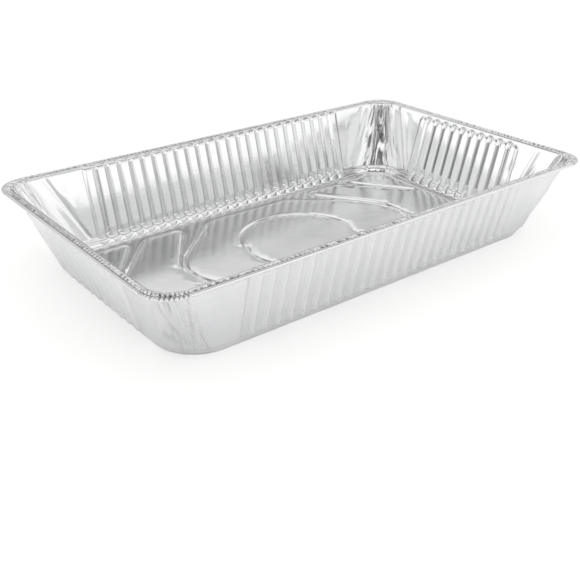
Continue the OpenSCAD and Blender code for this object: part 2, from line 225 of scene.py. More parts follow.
def profile_rows():
    """Rows of the wall from its foot to the end of the bead, as columns [inset from the wall's
    own line, height, share of the way up the wall, share of the bend or flange, kept]. The rows
    that aren't kept are left out of the fluted walls, which are straight there."""
    foot = [(LEDGE_W + FOOT_DRAFT * (1 - t), FOIL + (LEDGE_Z - LEDGE_FALL - FOIL) * t ** FOOT_CURVE)
            for t in (0, 0.4, 0.8)]
    ledge = [(LEDGE_W * t, LEDGE_Z - LEDGE_FALL * fall)
             for t, fall in ((1, 1), (0.6, 0.55), (0.15, 0.1))]
    low = [(inset, z, 0, 0, 1) for inset, z in foot + ledge]
    left_out = [z for i, z in enumerate(MIDDLE_ROWS) if i % MIDDLE_STEP]
    wall = [(0, z, (z - LEDGE_Z) / (WALL_TOP - LEDGE_Z), 0, z not in left_out)
            for z in np.concatenate([LOW_ROWS, MIDDLE_ROWS, TOP_ROWS])]
    bend = [(0, FLANGE_Z - BEND + BEND * math.sin(t), 1, 1 - math.cos(t), 1)
            for t in np.radians([30, 60, 90])]
    flange = [(0, FLANGE_Z, 1, 1 + t, 1) for t in (0.25, 0.5, 0.75)]
    roll = [(ROLL_R - ROLL_R * math.cos(t), HEIGHT - ROLL_R + ROLL_R * math.sin(t), 2, 0, 1)
            for t in roll_turns()]
    return np.array(low + wall + bend + flange + roll, float)


def roll_turns():
    """Angle of each row of the bead, from the flange's edge over the top and round under it."""
    return ROLL_START - ROLL_TURN * np.arange(ROLL_STEPS + 1) / ROLL_STEPS


# Creases that handling left beside the corners. Each is (quarter of the pan, short or long wall,
# distance from the corner and height of its upper end, the same of its lower end, depth, width),
# in millimetres, and a negative depth stands into the pan.
CREASES = (
    (1, "long", 14, 80, 5, 12, 0.8, 4.0), (1, "long", 21, 62, 15, 44, -0.4, 5.0),
    (1, "short", 10, 76, 4, 16, 0.6, 4.0),
    (1, "short", 22, 66, 12, 30, -0.4, 6.0), (0, "long", 10, 78, 4, 30, 0.5, 5.0),
    (0, "long", 26, 60, 14, 22, -0.35, 8.0), (0, "short", 13, 80, 4, 12, -0.8, 4.0),
    (0, "short", 24, 72, 12, 30, 0.5, 6.0), (3, "short", 36, 58, 27, 20, 0.6, 4.0),
    (3, "short", 22, 76, 12, 40, -0.5, 4.0), (3, "short", 10, 60, 4, 20, 0.6, 3.4),
    (3, "long", 12, 74, 5, 26, 0.4, 4.0), (2, "long", 10, 70, 3, 30, 0.6, 3.0),
    (2, "long", 24, 56, 14, 18, -0.4, 6.0), (2, "short", 14, 66, 6, 24, 0.5, 4.0),
    (2, "short", 30, 48, 20, 20, 0.3, 8.0),
)


def crease_push(p):
    """Outward push of the creases: for each, its depth times a smooth step of how near the point
    is to the crease's line, from 1 on the line to 0 a width away."""
    height = p["height"]
    push = 0 * height
    for quarter, side, s0, z0, s1, z1, depth, width in CREASES:
        s = p[side + "_side"]
        t = np.clip(((s - s0) * (s1 - s0) + (height - z0) * (z1 - z0))
                    / ((s1 - s0) ** 2 + (z1 - z0) ** 2), 0, 1)
        away = np.hypot(s - s0 - t * (s1 - s0), height - z0 - t * (z1 - z0))
        push += depth * smooth(1 - away / width) * (p["quarter"] == quarter)
    return push


# How far ribs stand in and grooves out. The height of the ribs' top, which lies above the wall on
# the long sides, so that the ribs run out into the bend, the half width of their round end as a
# share of the pitch, and the height over which they fade. A knob swells the foot of each groove
# and a notch goes in under each rib: how far on a long and on a short wall, at what height, and how
# wide and tall.
RIB_IN, GROOVE_OUT = 1.8, 1.3
RIB_TOP_LONG, RIB_TOP_SHORT, RIB_ROUND, RIB_FADE = 90.0, 78.9, 0.27, 2.4
KNOB_LONG, KNOB_SHORT, KNOB_Z, KNOB_WIDE, KNOB_TALL = 1.2, 0.5, 11.4, 3.8, 3.4
NOTCH_LONG, NOTCH_SHORT, NOTCH_Z, NOTCH_WIDE, NOTCH_TALL = 1.1, 0.4, 2.8, 3.0, 2.4


def flute_push(p):
    """Outward push of the flutes, and the share of a whole rib at each point. The push is
    GROOVE_OUT in a groove and -RIB_IN on a rib, and the levels of the rib's section lie between
    them. A rib ends in a half round at its top and in the ledge at its foot. Knobs and notches
    are bells, exp(-(across / wide)^2 - (rise / tall)^2)."""
    height, short_wall, walls = p["height"], p["short_wall"], p["fluted"] | p["plain"]
    pitch = np.where(short_wall, SHORT_PITCH, LONG_PITCH)
    place = np.abs((p["along"] / pitch) % 1 - 0.5)
    from_groove = np.where(p["fluted"], place, p["tail"] / LAST_PITCH)
    from_rib = np.abs(0.5 - from_groove)
    level = np.interp(from_groove, GROOVE_AT, GROOVE_LEVEL)
    rib_top = np.where(short_wall, RIB_TOP_SHORT, RIB_TOP_LONG)
    half = RIB_ROUND * pitch
    round_end = half - np.sqrt(np.maximum(half ** 2 - (from_rib * pitch) ** 2, 0))
    rib = smooth((rib_top - round_end - height) / RIB_FADE) * walls
    rib = rib * np.interp(from_groove, TAIL_AT, TAIL_LEVEL)
    groove = (1 - level) * smooth((rib_top + 0.6 - height) / RIB_FADE)
    foot = 0.3 + 0.7 * smooth((height - LEDGE_Z + LEDGE_FALL) / 1.6)
    top = smooth((FLANGE_Z - height) / BEND)
    push = (GROOVE_OUT * groove - RIB_IN * level * rib) * top * foot
    push = push * walls * p["standing"] * smooth(height / 4)
    across, rise = from_groove * LAST_PITCH / KNOB_WIDE, (height - KNOB_Z) / KNOB_TALL
    knob = np.where(short_wall, KNOB_SHORT, KNOB_LONG) * np.exp(-across ** 2 - rise ** 2)
    across, rise = from_rib * LAST_PITCH / NOTCH_WIDE, (height - NOTCH_Z) / NOTCH_TALL
    notch = np.where(short_wall, NOTCH_SHORT, NOTCH_LONG) * np.exp(-across ** 2 - rise ** 2)
    return push + (knob - notch) * walls * (height > FOIL), rib


# The folds in a quarter turn at the rim, by how much they stand closer at the foot, and how many
# times more fine folds there are. The depth of the large and of the fine folds, how far in their
# mean lies, the least and most share of that depth that one fold has, and how far the noise moves
# the folds, in folds.
FOLDS, CLOSER, FINE_FOLDS = 5.5, 1.8, 2.3
FOLD_DEPTH, FINE_DEPTH, FOLD_MEAN = 1.9, 0.5, 0.8
FOLD_SHARES = np.random.default_rng(6).uniform(0.25, 1.25, (4, 128))
WANDER, DRIFT, FINE_WANDER = 1.1, 0.7, 1.6


def zigzag(t):
    """A line that goes from 0 up to 1 and back to 0 over each whole number."""
    return 1 - np.abs(2 * (t % 1) - 1)


def pleat_push(p):
    """Outward push of the corners' pleats, how fully each point lies in the gathered part of a
    corner, and the painted shade in the bottoms of the folds. The pleats are zigzags of the turn
    around the corner, fanned out from the foot to the rim and bent by noise, each fold with its own
    random depth and with fine folds between. They fade at the corner's two edges and at the foot."""
    height, quarter, share = p["height"], p["quarter"], p["share"]
    turn = p["arc"] - math.pi / 4
    wander = value_noise(p["arc"] * 5 + 7 * quarter, 0.5 + height / 60, 3)
    drift = value_noise(height / 22 + 9 * quarter, p["arc"] * 4 + 5 * quarter, 4)
    fan = turn * (CLOSER - (CLOSER - 1) * share) / (math.pi / 2) + 3.5
    phase = FOLDS * fan + WANDER * wander + DRIFT * drift
    fold = zigzag(phase)
    deep = FOLD_SHARES[quarter, np.floor(phase).astype(int)]
    bent = value_noise(height / 9 + 3 * quarter, p["arc"] * 6, 7)
    fine = zigzag(FINE_FOLDS * phase + FINE_WANDER * bent)
    edge = smooth((math.pi / 4 - np.abs(turn) * (1 + 0.3 * (1 - share))) / 0.3)
    gathered = edge * p["corner"]
    push = FOLD_DEPTH * fold * deep + FINE_DEPTH * fine - FOLD_MEAN
    push = (0.8 + 0.4 * share) * push * gathered * p["standing"] * smooth((height - 1) / 7)
    push = push * (0.35 + 0.65 * smooth((HEIGHT - 1 - height) / 6))
    # Painted shade: how dark the bottoms of the deep folds are painted, for the light that they
    # trap.
    dark = smooth(0.5 - 1.6 * fold) * deep * gathered * p["standing"] * (0.35 + 0.65 * share)
    return push, gathered, dark


# The crimps of the flange: one every five columns in the corners, where it is gathered, and one
# every three along the straight rims, the depth of a whole one in each, and how far they slant
CORNER_CRIMP, STRAIGHT_CRIMP, CRIMP_SLANT = 1.4, 1.5, 2.0
CRIMP_SECTION, STRAIGHT_COLUMNS = (0, 0.5, 1, 0.5, 0), 3
CRIMP_SHARES = np.random.default_rng(8).uniform(0.45, 1, 600)


def rim_crimps(corner):
    """Depth of the flange's crimps in each column, and the painted shade in them. Each crimp has
    its own random share of the whole depth, and only those deeper than 0.3 of it get painted shade."""
    column, columns = np.arange(len(corner)), len(CRIMP_SECTION)
    straight = column % STRAIGHT_COLUMNS == 1
    crimp = np.where(corner, np.take(CRIMP_SECTION, column % columns), straight)
    number = np.where(corner, column // columns, column // STRAIGHT_COLUMNS)
    crimp = crimp * CRIMP_SHARES[number]
    # Painted shade for the deeper crimps.
    dark = smooth((crimp - 0.3) / 0.6) * np.where(corner, 1, 0.6)
    return np.where(corner, CORNER_CRIMP, STRAIGHT_CRIMP) * crimp, dark


# Depth of the soft dents of the walls and of the flange's crumple in the corners and along the
# straight rims, and how much of a crimp's depth is tucked into the bead in the same two places
DENT, CORNER_CRUMPLE, CRUMPLE, CORNER_TUCK, TUCK = 0.25, 1.0, 0.12, 0.9, 0.06

# Heights between which the flutes are creased sharply. Those of the near long wall are softer.
SHARP_FROM, SHARP_TO_LONG, SHARP_TO_SHORT = 17, 79, 72


def wall_surface():
    """The wall, flange and bead as a grid of points, one row for each level of the profile. Each
    level is a rounded rectangle, pushed along its outward normal by the flutes, pleats, dents and
    creases. The crimps sink the flange and tuck in the bead, and the flange's columns slide along
    the rim, so that its crimps slant. Returns the points, the masks gather and crevice (the painted
    shade in the bottoms of the tight folds), where the foil is creased sharply, which rows are kept
    in the flutes and which columns are flutes."""
    inset, z, up, kind, kept = profile_rows().T
    climb = np.clip(up, 0, 1)
    a = FOOT_A - inset + climb * (RIM_A - WALL_IN - FOOT_A)
    b = FOOT_B - inset + climb * (RIM_B - WALL_IN - FOOT_B)
    r = FOOT_R - inset + climb * (WALL_R - FOOT_R)
    bend = (up == 1) & (kind > 0) & (kind <= 1)
    flange = (up == 1) & (kind > 1)
    roll = up == 2
    out = np.where(bend, kind * BEND, np.where(flange, BEND + (kind - 1) * FLANGE, 0))
    a = np.where(roll, RIM_A - inset, a + out)
    b = np.where(roll, RIM_B - inset, b + out)
    r = np.where(roll, RIM_R - inset, r + out)[:, None]
    p = plan_of(a, b, r[:, 0], np.where(bend, kind, flange | roll))
    x, y, part = p["x"], p["y"], p["part"]
    height = np.repeat(z[:, None], x.shape[1], axis=1)
    p["height"], p["quarter"] = height, (np.arange(x.shape[1]) * 4 // x.shape[1])[None, :]
    p["share"] = np.clip((height - LEDGE_Z) / (WALL_TOP - LEDGE_Z), 0, 1)
    p["fluted"], p["plain"], p["corner"] = part % 4 == 0, part % 2 == 1, part == 2
    p["short_wall"], p["standing"] = part < 2, ((up <= 1) & (kind <= 1))[:, None]
    bend, flange, roll, corner = bend[:, None], flange[:, None], roll[:, None], p["corner"]

    flute, rib = flute_push(p)
    pleat, gathered, crevice = pleat_push(p)
    dent = DENT * p["share"] * value_noise(x / 19, height / 21 + y / 17, 9)
    dent = dent * (p["plain"] | corner) * (1 - rib)
    push = flute + pleat + (dent + crease_push(p) * ~p["fluted"]) * p["standing"]

    crimp, dark = rim_crimps(corner[-1])
    crumple = CORNER_CRUMPLE * corner * (1 + value_noise(x / 3.1, y / 3.1, 12)) / 2
    crumple += CRUMPLE * (1 + value_noise(x / 4, y / 4, 13))
    sunk = (crimp + crumple) * flange
    tuck = np.where(corner, CORNER_TUCK, TUCK) * crimp * roll
    turned = np.zeros((len(z), 1))
    turned[roll] = roll_turns()
    slide = CRIMP_SLANT * np.where(flange, kind[:, None] - 1, roll)
    push -= tuck * np.cos(turned) + (np.hypot(r, slide) - r) * corner
    # Painted shade in the deep crimps of the flange, and of the bead in the corners.
    crevice += dark * (flange | roll & corner)
    gather = np.where(bend | flange | roll, 1.0, 0.45 * gathered)
    sharp_to = np.where(p["short_wall"], SHARP_TO_SHORT, SHARP_TO_LONG)
    sharp = p["fluted"] & (p["short_wall"] | (y > 0)) & (height > SHARP_FROM) & (height < sharp_to)
    x = x + push * p["nx"] - slide * p["ny"]
    y = y + push * p["ny"] + slide * p["nx"]
    z = height - sunk - tuck * np.sin(turned)
    return x, y, z, (gather, crevice), flange | sharp, kept > 0, p["fluted"][0]


# The floor: how high it stands, the width of the slope up to it and of the ring that the pan stands
# on. Half the length and width over the panels, how far they rise, and the depth and width of the
# grooves, with the share of that depth that the middle panel's has.
FLOOR_Z, FLOOR_SLOPE, RING_W = 5.5, 7.0, 6.0
FLOOR_IN = LEDGE_W + FOOT_DRAFT + RING_W + FLOOR_SLOPE
PANEL_A, PANEL_B = FOOT_A - FLOOR_IN - 7.0, FOOT_B - FLOOR_IN - 10.5
PANEL_RISE, GROOVE_DEPTH, GROOVE_WIDTH, MIDDLE_SHARE = 0.9, 1.3, 1.55, 0.6

# Shares of that half length: where the long edge, the shoulder and the tip of the middle panel lie,
# then the inner corner of an end panel and the two sides of its slot's mouth. The radius of the
# slot's end and the gap between the middle panel's tip and an end panel are in millimetres.
MIDDLE_EDGE, MIDDLE_SHOULDER, MIDDLE_TIP = 0.26, 0.527, 0.652
END_EDGE, SLOT_NEAR, SLOT_FAR = 0.425, 0.65, 0.745
SLOT_RADIUS, PANEL_GAP = 3, 5.5


def bend_corner(start, corner, end, reach, steps):
    """A corner turned into a quadratic curve that starts and ends the given distance from it."""
    start, corner, end = (np.array(v, float) for v in (start, corner, end))
    t = np.linspace(0, 1, steps)[:, None]
    first = corner + (start - corner) * min(1, reach / np.linalg.norm(start - corner))
    last = corner + (end - corner) * min(1, reach / np.linalg.norm(end - corner))
    return (1 - t) ** 2 * first + 2 * t * (1 - t) * corner + t ** 2 * last


def line_at(p, q, x):
    """The point with the given x on the line through p and q."""
    return [x, p[1] + (q[1] - p[1]) * (x - p[0]) / (q[0] - p[0])]


def middle_panel():
    """Outline of the middle panel: a straight long edge, slanting shoulders and round ends."""
    corner, tip = [MIDDLE_EDGE * PANEL_A, PANEL_B], [MIDDLE_TIP * PANEL_A, 0]
    shoulder = [MIDDLE_SHOULDER * PANEL_A, PANEL_B / 2]
    turn = line_at(corner, shoulder, tip[0])
    quarter = np.vstack([
        bend_corner(tip, turn, shoulder, PANEL_B, 12),
        bend_corner(shoulder, corner, [0, PANEL_B], 8, 6), [[0, PANEL_B]],
    ])
    half = np.vstack([quarter, (quarter * [-1, 1])[-2::-1]])
    return np.vstack([half, (half * [1, -1])[-2:0:-1]])


def end_panel():
    """Outline of an end panel: round outer corners, a slanting slot and a hooked inner corner."""
    top = [PANEL_A, PANEL_B]
    mouth = [[SLOT_NEAR * PANEL_A, PANEL_B], [SLOT_FAR * PANEL_A, PANEL_B]]
    slot = np.array([PANEL_A - 8, 0.32 * PANEL_B])
    axis = slot - [(mouth[0][0] + mouth[1][0]) / 2, PANEL_B]
    side = np.array([-axis[1], axis[0]]) / np.linalg.norm(axis) * SLOT_RADIUS
    corner, tip = [END_EDGE * PANEL_A, PANEL_B], [MIDDLE_TIP * PANEL_A + PANEL_GAP, 0]
    shoulder = [tip[0] - 1.5, PANEL_B / 4]
    turn = line_at(corner, shoulder, tip[0])
    angle = -np.linspace(0, math.pi, 9)[:, None]
    half = np.vstack([
        [[PANEL_A, 0]],
        bend_corner([PANEL_A, 0], top, [0, PANEL_B], 27, 10),
        bend_corner(top, mouth[1], slot + side, 5, 5),
        slot + np.cos(angle) * side + np.sin(angle) * np.array([-side[1], side[0]]),
        bend_corner(slot - side, mouth[0], corner, 5, 5),
        bend_corner(mouth[0], corner, shoulder, 13, 10),
        bend_corner(corner, turn, tip, 18, 10),
        [tip],
    ])
    return np.vstack([half, (half * [1, -1])[-2:0:-1]])


# Half length and half width of the ring, where its arc starts and ends, in degrees, and the share
# by which its start lies further in
RING_A, RING_B, RING_START, RING_END, RING_HOOK = 65, 68, -19, 158, 0.07


def ring_arc():
    """Half of the open ring in the middle panel, an ellipse's arc that starts a little inside the
    end of the other half. The other half is the same line turned half round."""
    angle = np.radians(np.linspace(RING_START, RING_END, 40))
    reach = 1 - RING_HOOK * (1 - smooth((angle - angle[0]) / 0.5))
    return np.stack([RING_A * np.cos(angle) * reach, RING_B * np.sin(angle) * reach], axis=1)


def away_from(x, y, line):
    """Least distance from points to an open line."""
    best = np.full(x.shape, 1e9)
    for p, q in zip(line[:-1], line[1:]):
        d = q - p
        t = np.clip(((x - p[0]) * d[0] + (y - p[1]) * d[1]) / max(d @ d, 1e-12), 0, 1)
        best = np.minimum(best, np.hypot(x - p[0] - t * d[0], y - p[1] - t * d[1]))
    return best


def inside_by(x, y, outline):
    """Signed distance from points to a closed outline, positive inside: the least distance to
    its edges, with the sign from counting the edges that a ray crosses."""
    closed = np.vstack([outline, outline[:1]])
    crossings = np.zeros(x.shape, int)
    for p, q in zip(closed[:-1], closed[1:]):
        spans = (p[1] > y) != (q[1] > y)
        rise = q[1] - p[1]
        crossings += spans & (x < p[0] + (y - p[1]) * (q[0] - p[0]) / (rise if rise else 1e-12))
    best = away_from(x, y, closed)
    return np.where(crossings % 2 == 1, best, -best)


def edge_inset(x, y):
    """Distance in from the edge of the standing ring, which is a rounded rectangle."""
    a, b, r = (v - LEDGE_W - FOOT_DRAFT for v in (FOOT_A, FOOT_B, FOOT_R))
    qx, qy = np.abs(x) - a + r, np.abs(y) - b + r
    return r - np.hypot(np.maximum(qx, 0), np.maximum(qy, 0)) - np.minimum(np.maximum(qx, qy), 0)


# The small round dimples: four at the inner edges of the end panels, and one at the end of each
# half of the ring
DOTS = [(sx * 140, sy * 22) for sx in (1, -1) for sy in (1, -1)] + [(-62, 26), (62, -26)]
DOT_DEPTH, DOT_WIDTH = 1.2, 2.6


def floor_height(x, y):
    """Height of the floor: a smooth step from the standing ring up to the floor and another up to
    the panels, less a bell exp(-(distance / width)^2) along the edges of the panels, along the
    open ring and around each dimple, and last a faint waviness."""
    edge = edge_inset(x, y)
    z = FOIL + (FLOOR_Z - FOIL) * smooth((edge - RING_W) / FLOOR_SLOPE)
    middle = inside_by(x, y, middle_panel())
    end = inside_by(np.abs(x), y, end_panel())
    z += PANEL_RISE * smooth((np.maximum(middle, end) + 1.5) / 3)
    z -= GROOVE_DEPTH * np.exp(-((end + 0.5) / GROOVE_WIDTH) ** 2)
    z -= MIDDLE_SHARE * GROOVE_DEPTH * np.exp(-((middle + 0.5) / GROOVE_WIDTH) ** 2)
    ring = np.minimum(away_from(x, y, ring_arc()), away_from(x, y, -ring_arc()))
    z -= GROOVE_DEPTH * np.exp(-(ring / GROOVE_WIDTH) ** 2)
    for dx, dy in DOTS:
        z -= DOT_DEPTH * np.exp(-((x - dx) ** 2 + (y - dy) ** 2) / DOT_WIDTH ** 2)
    wave = smooth((edge - 12) / 10)
    z += 0.07 * value_noise(x / 26, y / 21, 21) * wave + 0.02 * value_noise(x / 8, y / 9, 22) * wave
    return z


def beside(line, spacing, offsets):
    """Points every spacing along a line, and again at each offset to its side."""
    run = np.concatenate([[0], np.cumsum(np.linalg.norm(np.diff(line, axis=0), axis=1))])
    t = np.linspace(0, run[-1], int(run[-1] / spacing) + 2)
    x, y = np.interp(t, run, line[:, 0]), np.interp(t, run, line[:, 1])
    dx, dy = np.gradient(x), np.gradient(y)
    size = np.hypot(dx, dy)
    return np.concatenate([
        np.stack([x - dy / size * k, y + dx / size * k], axis=1) for k in offsets
    ])


def inset_loop(inset, spacing):
    """Points along the rounded rectangle that lies the given distance in from the foot."""
    a, b, r = (v - LEDGE_W - FOOT_DRAFT - inset for v in (FOOT_A, FOOT_B, FOOT_R))
    angle = np.linspace(0, math.pi / 2, 14)
    arc = np.stack([a - r + r * np.cos(angle), b - r + r * np.sin(angle)], axis=1)
    loop = np.vstack([arc, arc[::-1] * [-1, 1], -arc, arc[::-1] * [1, -1], arc[:1]])
    return beside(loop, spacing, [0])


# Where the floor's points lie: rows across a groove and the step along it, circles around a dimple,
# loops on the slope by their inset from the ring's edge and the step along them, and the lattice of
# the flats by its two steps, the foot's edge that it leaves out and its least distance from a
# groove. The floor's own points start at the inset SLOPE_END, and squares of the side THINNED_TO
# hold one point each.
GROOVE_ROWS, GROOVE_STEP = np.array([-3.2, -1.6, -0.8, 0, 0.8, 1.6, 3.2]), 3.7
DOT_CIRCLES = (0.01, 1.4, 2.8, 5)
SLOPE_LOOPS, SLOPE_STEP, SLOPE_END = (3, 5.8, 7, 8.4, 9.8, 11.3, 12.8, 14.2), 5.5, 15.5
LATTICE_X, LATTICE_Y, LATTICE_EDGE, LATTICE_GAP = 8.0, 7.0, 16, 5.5
THINNED_TO = 0.9


def floor_points():
    """Points of the floor, close together across the slope and the grooves and far apart on the
    flats. Of those that share a small square, only the first is kept."""
    end, middle, ring = end_panel(), middle_panel(), ring_arc()
    end, middle = np.vstack([end, end[:1]]), np.vstack([middle, middle[:1]])
    lines = [beside(line, GROOVE_STEP, GROOVE_ROWS - 0.5) for line in (end, -end, middle)]
    lines += [beside(line, GROOVE_STEP, GROOVE_ROWS) for line in (ring, -ring)]
    angle = np.linspace(0, 2 * math.pi, 8, endpoint=False)
    around = np.stack([np.cos(angle), np.sin(angle)], axis=1)
    dots = [np.array(dot) + around * reach for dot in DOTS for reach in DOT_CIRCLES]
    end_x, end_y = FOOT_A - LATTICE_EDGE, FOOT_B - LATTICE_EDGE
    across_x = np.arange(-end_x, end_x + 1, LATTICE_X)
    x, y = np.meshgrid(across_x, np.arange(-end_y, end_y + 1, LATTICE_Y), indexing="ij")
    x, y = (x + np.where(np.arange(y.shape[1]) % 2, LATTICE_X / 2, 0)).ravel(), y.ravel()
    far = np.full(x.shape, 1e9)
    for line in (end, -end, middle, ring, -ring):
        far = np.minimum(far, away_from(x, y, line))
    lattice = np.stack([x, y], axis=1)[far > LATTICE_GAP]
    points = np.vstack(dots + lines + [lattice])
    points = points[edge_inset(points[:, 0], points[:, 1]) > SLOPE_END]
    points = np.vstack([points] + [inset_loop(inset, SLOPE_STEP) for inset in SLOPE_LOOPS])
    _, first = np.unique(np.floor(points / THINNED_TO), axis=0, return_index=True)
    return points[np.sort(first)]


def floor_mesh(rim):
    """Triangles that fill the loop rim with the points of the floor, by Delaunay's rule. Returns
    the added points and the faces, numbered with the rim first."""
    added = floor_points()
    points = np.vstack([rim, added])
    count = len(rim)
    loop = [(i, (i + 1) % count) for i in range(count)]
    corners = [Vector(point) for point in points.tolist()]
    found = geometry.delaunay_2d_cdt(corners, loop, [], 1, 1e-6)
    source = np.array([origin[0] for origin in found[3]])
    faces = source[np.array(found[2])]
    p, q, s = (points[faces[:, k]] for k in range(3))
    turned = (q[:, 0] - p[:, 0]) * (s[:, 1] - p[:, 1]) < (q[:, 1] - p[:, 1]) * (s[:, 0] - p[:, 0])
    faces[turned] = faces[turned, ::-1]
    return added, faces


def wall_faces(number, kept, fluted):
    """Faces of the wall's grid. The fluted columns use only the kept rows, and where a fluted
    column meets a plain one a face has more corners on its plain side."""
    following = np.roll(number, -1, axis=1)
    both, after = fluted & np.roll(fluted, -1), np.roll(fluted, -1)
    faces = []
    for rows, columns in ((np.flatnonzero(kept), both), (np.arange(len(kept)), ~fluted & ~after)):
        here, there = number[rows][:, columns], following[rows][:, columns]
        quads = np.stack([here[1:], there[1:], there[:-1], here[:-1]], axis=-1)
        faces += quads.reshape(-1, 4).tolist()
    rows = np.flatnonzero(kept)
    for column in np.flatnonzero(fluted != after):
        for low, high in zip(rows[:-1], rows[1:]):
            left, right = number[low:high + 1, column], following[low:high + 1, column]
            if fluted[column]:
                left = left[[0, -1]]
            else:
                right = right[[0, -1]]
            faces.append([left[-1]] + right[::-1].tolist() + left[:-1].tolist())
    return faces


def make_pan():
    """The wall's grid and the floor's triangles as one mesh that shares the points of the wall's
    lowest row, with the masks as attributes and the foil's gauge given by Solidify. Faces whose
    points all lie on sharply creased foil are shaded flat, and the rest smooth."""
    x, y, z, masks, crisp, kept, fluted = wall_surface()
    rows, columns = x.shape
    number = np.arange(rows * columns).reshape(rows, columns)
    added, floor = floor_mesh(np.stack([x[0], y[0]], axis=1))
    floor = np.where(floor < columns, floor, floor - columns + rows * columns)
    points = np.vstack([
        np.stack([x, y, z], axis=-1).reshape(-1, 3),
        np.column_stack([added, floor_height(added[:, 0], added[:, 1])]),
    ]) * MM
    faces = wall_faces(number, kept, fluted) + floor.tolist()
    used = np.unique(np.concatenate([np.array(face) for face in faces[-len(floor):]] + [
        number[:, ~fluted].ravel(), number[kept][:, fluted].ravel(),
    ]))
    place = np.zeros(len(points), int)
    place[used] = np.arange(len(used))
    mesh = bpy.data.meshes.new("pan_foil")
    mesh.from_pydata(points[used].tolist(), [], [place[face].tolist() for face in faces])
    mesh.update()
    crisp = np.concatenate([crisp.ravel(), np.zeros(len(added), bool)])
    soft = [not crisp[face].all() for face in faces]
    mesh.polygons.foreach_set("use_smooth", soft)
    # The crevice attribute carries the painted shade of the tight folds' bottoms, and gather tells
    # where the foil is gathered.
    for name, mask in zip(("gather", "crevice"), masks):
        values = np.concatenate([mask.ravel(), np.zeros(len(added))])[used]
        attribute = mesh.attributes.new(name, "FLOAT", "POINT")
        attribute.data.foreach_set("value", values.astype(np.float32))
    pan = bpy.data.objects.new("pan_foil", mesh)
    bpy.context.collection.objects.link(pan)
    gauge = pan.modifiers.new("gauge", "SOLIDIFY")
    gauge.thickness = FOIL * MM
    gauge.offset = -1
    return pan


pan = make_pan()


def feed(tree, value, socket):
    """Links another node's socket to this one, or gives it a number or a row of numbers."""
    if isinstance(value, bpy.types.NodeSocket):
        tree.links.new(value, socket)
    else:
        socket.default_value = value


def operate(tree, kind, operation, *values):
    """A node of the kind that does one operation on the values, in the order of its sockets."""
    node = tree.nodes.new(kind)
    node.operation = operation
    for socket, value in zip(node.inputs, values):
        feed(tree, value, socket)
    return node


def maths(tree, operation, *values):
    """The result of one operation on numbers."""
    return operate(tree, "ShaderNodeMath", operation, *values).outputs[0]


def mix_colours(tree, share, low, high):
    """The colour low where the share is 0 and high where it is 1."""
    node = tree.nodes.new("ShaderNodeMix")
    node.data_type = "RGBA"
    for name, value in (("Factor", share), ("A", low), ("B", high)):
        feed(tree, value, node.inputs[name])
    return node.outputs["Result"]


def in_range(tree, value, start, end, low, high):
    """Straight from low to high while the value goes from start to end, and level beyond."""
    node = tree.nodes.new("ShaderNodeMapRange")
    names = ("Value", "From Min", "From Max", "To Min", "To Max")
    for name, given in zip(names, (value, start, end, low, high)):
        feed(tree, given, node.inputs[name])
    return node.outputs["Result"]


# The foil's colour in its faint streaks and between them, then a painted shade: the tight folds of
# the rim and the corners hold the light, so their bottoms are painted nearly black.
STREAK_TONE, FOIL_TONE = (0.775, 0.78, 0.79, 1), (0.85, 0.85, 0.845, 1)
CREVICE_PAINTED_SHADE = (0.07, 0.07, 0.075, 1)

# Roughness of the bright side, what the streaks and the flat floor add to it, and what the satin
# outer side adds, with how much less that is where the foil is gathered. The flat floor and the
# outer side are told by the upward part of the normal.
CLOUD_ROUGH, STREAK_ROUGH, FLAT_ROUGH = (0.09, 0.13), (0, 0.04), (0, 0.06)
SATIN_ROUGH, GATHERED_BRIGHT = 0.27, 0.24
FACING_UP, FACING_DOWN = 0.93, -0.04

# Height of the small dents, the grain and the crumple on plain foil, in millimetres, and what the
# crumple gains where the foil is gathered
DENT_HEIGHT, GRAIN_HEIGHT, CRUMPLE_HEIGHT, CRUMPLE_GAIN = 0.07, 0.004, 0.014, 0.11


